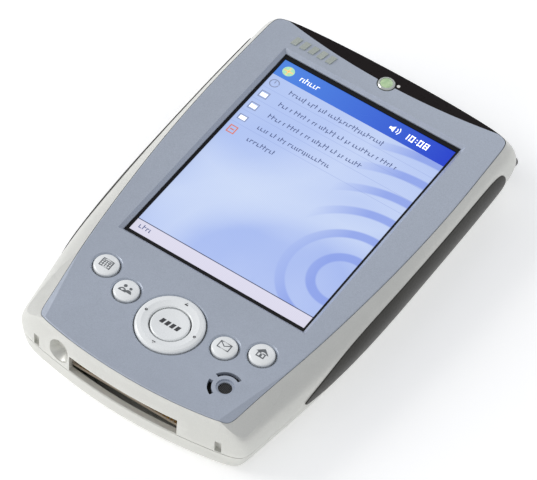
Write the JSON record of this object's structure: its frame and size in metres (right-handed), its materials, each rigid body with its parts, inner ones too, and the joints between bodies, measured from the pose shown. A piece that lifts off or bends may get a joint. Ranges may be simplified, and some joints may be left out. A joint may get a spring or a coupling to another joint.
{
  "type": "personal digital assistant",
  "caption": "Pocket computer with a touch screen, round buttons and tilting navigation pad, sync socket, card slots, side grips, stylus and removable battery.",
  "frame": {"origin": "middle of the back, on the surface the device lies on", "axes": "+Z out of the screen, +Y towards the top end with the card slots, +X to the right seen from the front"},
  "size_m": [0.0816, 0.1279, 0.018],
  "materials": {
    "face_blue": "satin metallic lacquer on moulded plastic",
    "silver_shell": "satin silver lacquer on moulded plastic",
    "silver_back": "satin silver lacquer on moulded plastic",
    "cap_black": "gloss",
    "grip_rubber": "matt",
    "gasket_black": "matt",
    "screen_glass": "semi gloss",
    "lcd_glass": "gloss",
    "tray_metal": "satin",
    "flex_amber": "gloss",
    "board_green": "solder mask",
    "chip_black": "matt",
    "tin_plate": "satin",
    "cell_steel": "satin",
    "contact_gold": "plated",
    "speaker_black": "matt",
    "screw_steel": "plated",
    "connector_shell": "moulded",
    "button_silver": "pearl lacquer on moulded plastic",
    "pivot_nylon": "matt",
    "power_silver": "satin silver lacquer",
    "lens_green": "gloss",
    "light_white": "gloss",
    "pad_silicone": "matt",
    "jog_rubber": "matt",
    "button_red": "gloss",
    "stylus_black": "gloss",
    "stylus_silver": "satin",
    "blank_black": "fine texture",
    "cell_wrap": "film"
  },
  "bodies": {
    "casing": {"face_plate": "face_blue", "upper_housing": "silver_shell", "back_cover": "silver_back", "top_cap": "cap_black", "left_grip": "grip_rubber", "right_grip": "grip_rubber", "display_gasket": "gasket_black", "touch_panel": "screen_glass", "lcd_panel": "lcd_glass", "backlight_tray": "tray_metal", "display_flex": "flex_amber", "main_board": "board_green", "processor_chip": "chip_black", "memory_chips": "chip_black", "shield_can": "tin_plate", "backup_cell": "cell_steel", "battery_contacts": "contact_gold", "ir_module": "chip_black", "speaker": "speaker_black", "microphone": "tin_plate", "board_screws": "screw_steel", "case_screws": "screw_steel", "sync_connector": "connector_shell", "sync_contacts": "contact_gold", "power_inlet": "connector_shell", "headphone_jack": "connector_shell", "cf_cage": "tin_plate", "sd_socket": "tin_plate", "nav_posts": "pivot_nylon", "status_light": "light_white", "button_pad": "pad_silicone", "dome_switches": "screw_steel", "stylus_silo": "tray_metal"},
    "power_button": {"power_button": "power_silver", "power_lens": "lens_green"},
    "calendar_button": {"calendar_button": "button_silver"},
    "contacts_button": {"contacts_button": "button_silver"},
    "inbox_button": {"inbox_button": "button_silver"},
    "home_button": {"home_button": "button_silver"},
    "nav_pivot": {"nav_pivot": "pivot_nylon"},
    "nav_ring": {"nav_ring": "button_silver"},
    "nav_centre": {"nav_centre": "button_silver"},
    "jog_carrier": {"jog_carrier": "pivot_nylon"},
    "jog_wheel": {"jog_wheel": "jog_rubber"},
    "record_button": {"record_button": "power_silver"},
    "reset_button": {"reset_button": "button_red"},
    "stylus": {"stylus_cap": "stylus_black", "stylus_barrel": "stylus_silver", "stylus_tip": "stylus_black"},
    "cf_card": {"cf_blank_card": "blank_black"},
    "sd_card": {"sd_blank_card": "blank_black"},
    "cf_eject": {"cf_eject_button": "blank_black"},
    "battery": {"battery_case": "silver_back", "battery_terminals": "contact_gold", "battery_cell": "cell_wrap"},
    "battery_latch": {"battery_latch": "blank_black"}
  },
  "joints": [
    {"name": "power_press", "type": "slide", "parent": "casing", "child": "power_button", "axis": [0, 0, -1], "range_m": [0, 0.0005], "stiffness_N_per_m": 600, "springref_m": -0.0002},
    {"name": "calendar_press", "type": "slide", "parent": "casing", "child": "calendar_button", "axis": [0, 0, -1], "range_m": [0, 0.0005], "stiffness_N_per_m": 600, "springref_m": -0.0002},
    {"name": "contacts_press", "type": "slide", "parent": "casing", "child": "contacts_button", "axis": [0, 0, -1], "range_m": [0, 0.0005], "stiffness_N_per_m": 600, "springref_m": -0.0002},
    {"name": "inbox_press", "type": "slide", "parent": "casing", "child": "inbox_button", "axis": [0, 0, -1], "range_m": [0, 0.0005], "stiffness_N_per_m": 600, "springref_m": -0.0002},
    {"name": "home_press", "type": "slide", "parent": "casing", "child": "home_button", "axis": [0, 0, -1], "range_m": [0, 0.0005], "stiffness_N_per_m": 600, "springref_m": -0.0002},
    {"name": "nav_side_tilt", "type": "hinge", "parent": "casing", "child": "nav_pivot", "pos_m": [0, -0.043, 0.0146], "axis": [0, 1, 0], "range_deg": [-2.5, 2.5], "stiffness_Nm_per_rad": 0.05},
    {"name": "nav_end_tilt", "type": "hinge", "parent": "nav_pivot", "child": "nav_ring", "pos_m": [0, -0.043, 0.0146], "axis": [1, 0, 0], "range_deg": [-2.5, 2.5], "stiffness_Nm_per_rad": 0.05},
    {"name": "nav_centre_press", "type": "slide", "parent": "casing", "child": "nav_centre", "axis": [0, 0, -1], "range_m": [0, 0.0004], "stiffness_N_per_m": 700, "springref_m": -0.0002},
    {"name": "jog_press", "type": "slide", "parent": "casing", "child": "jog_carrier", "axis": [1, 0, 0], "range_m": [0, 0.0005], "stiffness_N_per_m": 500, "springref_m": -0.0002},
    {"name": "jog_turn", "type": "hinge", "parent": "jog_carrier", "child": "jog_wheel", "pos_m": [-0.036, 0.032, 0.0098], "axis": [0, 0, 1], "continuous": true},
    {"name": "record_press", "type": "slide", "parent": "casing", "child": "record_button", "axis": [1, 0, 0], "range_m": [0, 0.0005], "stiffness_N_per_m": 500, "springref_m": -0.0002},
    {"name": "reset_press", "type": "slide", "parent": "casing", "child": "reset_button", "axis": [0, 0, 1], "range_m": [0, 0.0004], "stiffness_N_per_m": 600, "springref_m": -0.0002},
    {"name": "stylus_slide", "type": "slide", "parent": "casing", "child": "stylus", "axis": [0.0384, 0.9993, 0], "range_m": [0, 0.105]},
    {"name": "cf_card_slide", "type": "slide", "parent": "casing", "child": "cf_card", "axis": [0, 1, 0], "range_m": [0, 0.045]},
    {"name": "sd_card_slide", "type": "slide", "parent": "casing", "child": "sd_card", "axis": [0, 1, 0], "range_m": [0, 0.038]},
    {"name": "cf_eject_push", "type": "slide", "parent": "casing", "child": "cf_eject", "axis": [0, -1, 0], "range_m": [0, 0.0025]},
    {"name": "battery_slide", "type": "slide", "parent": "casing", "child": "battery", "axis": [0, 0, -1], "range_m": [0, 0.012]},
    {"name": "battery_latch_slide", "type": "slide", "parent": "casing", "child": "battery_latch", "axis": [0, 1, 0], "range_m": [0, 0.0014]}
  ]
}
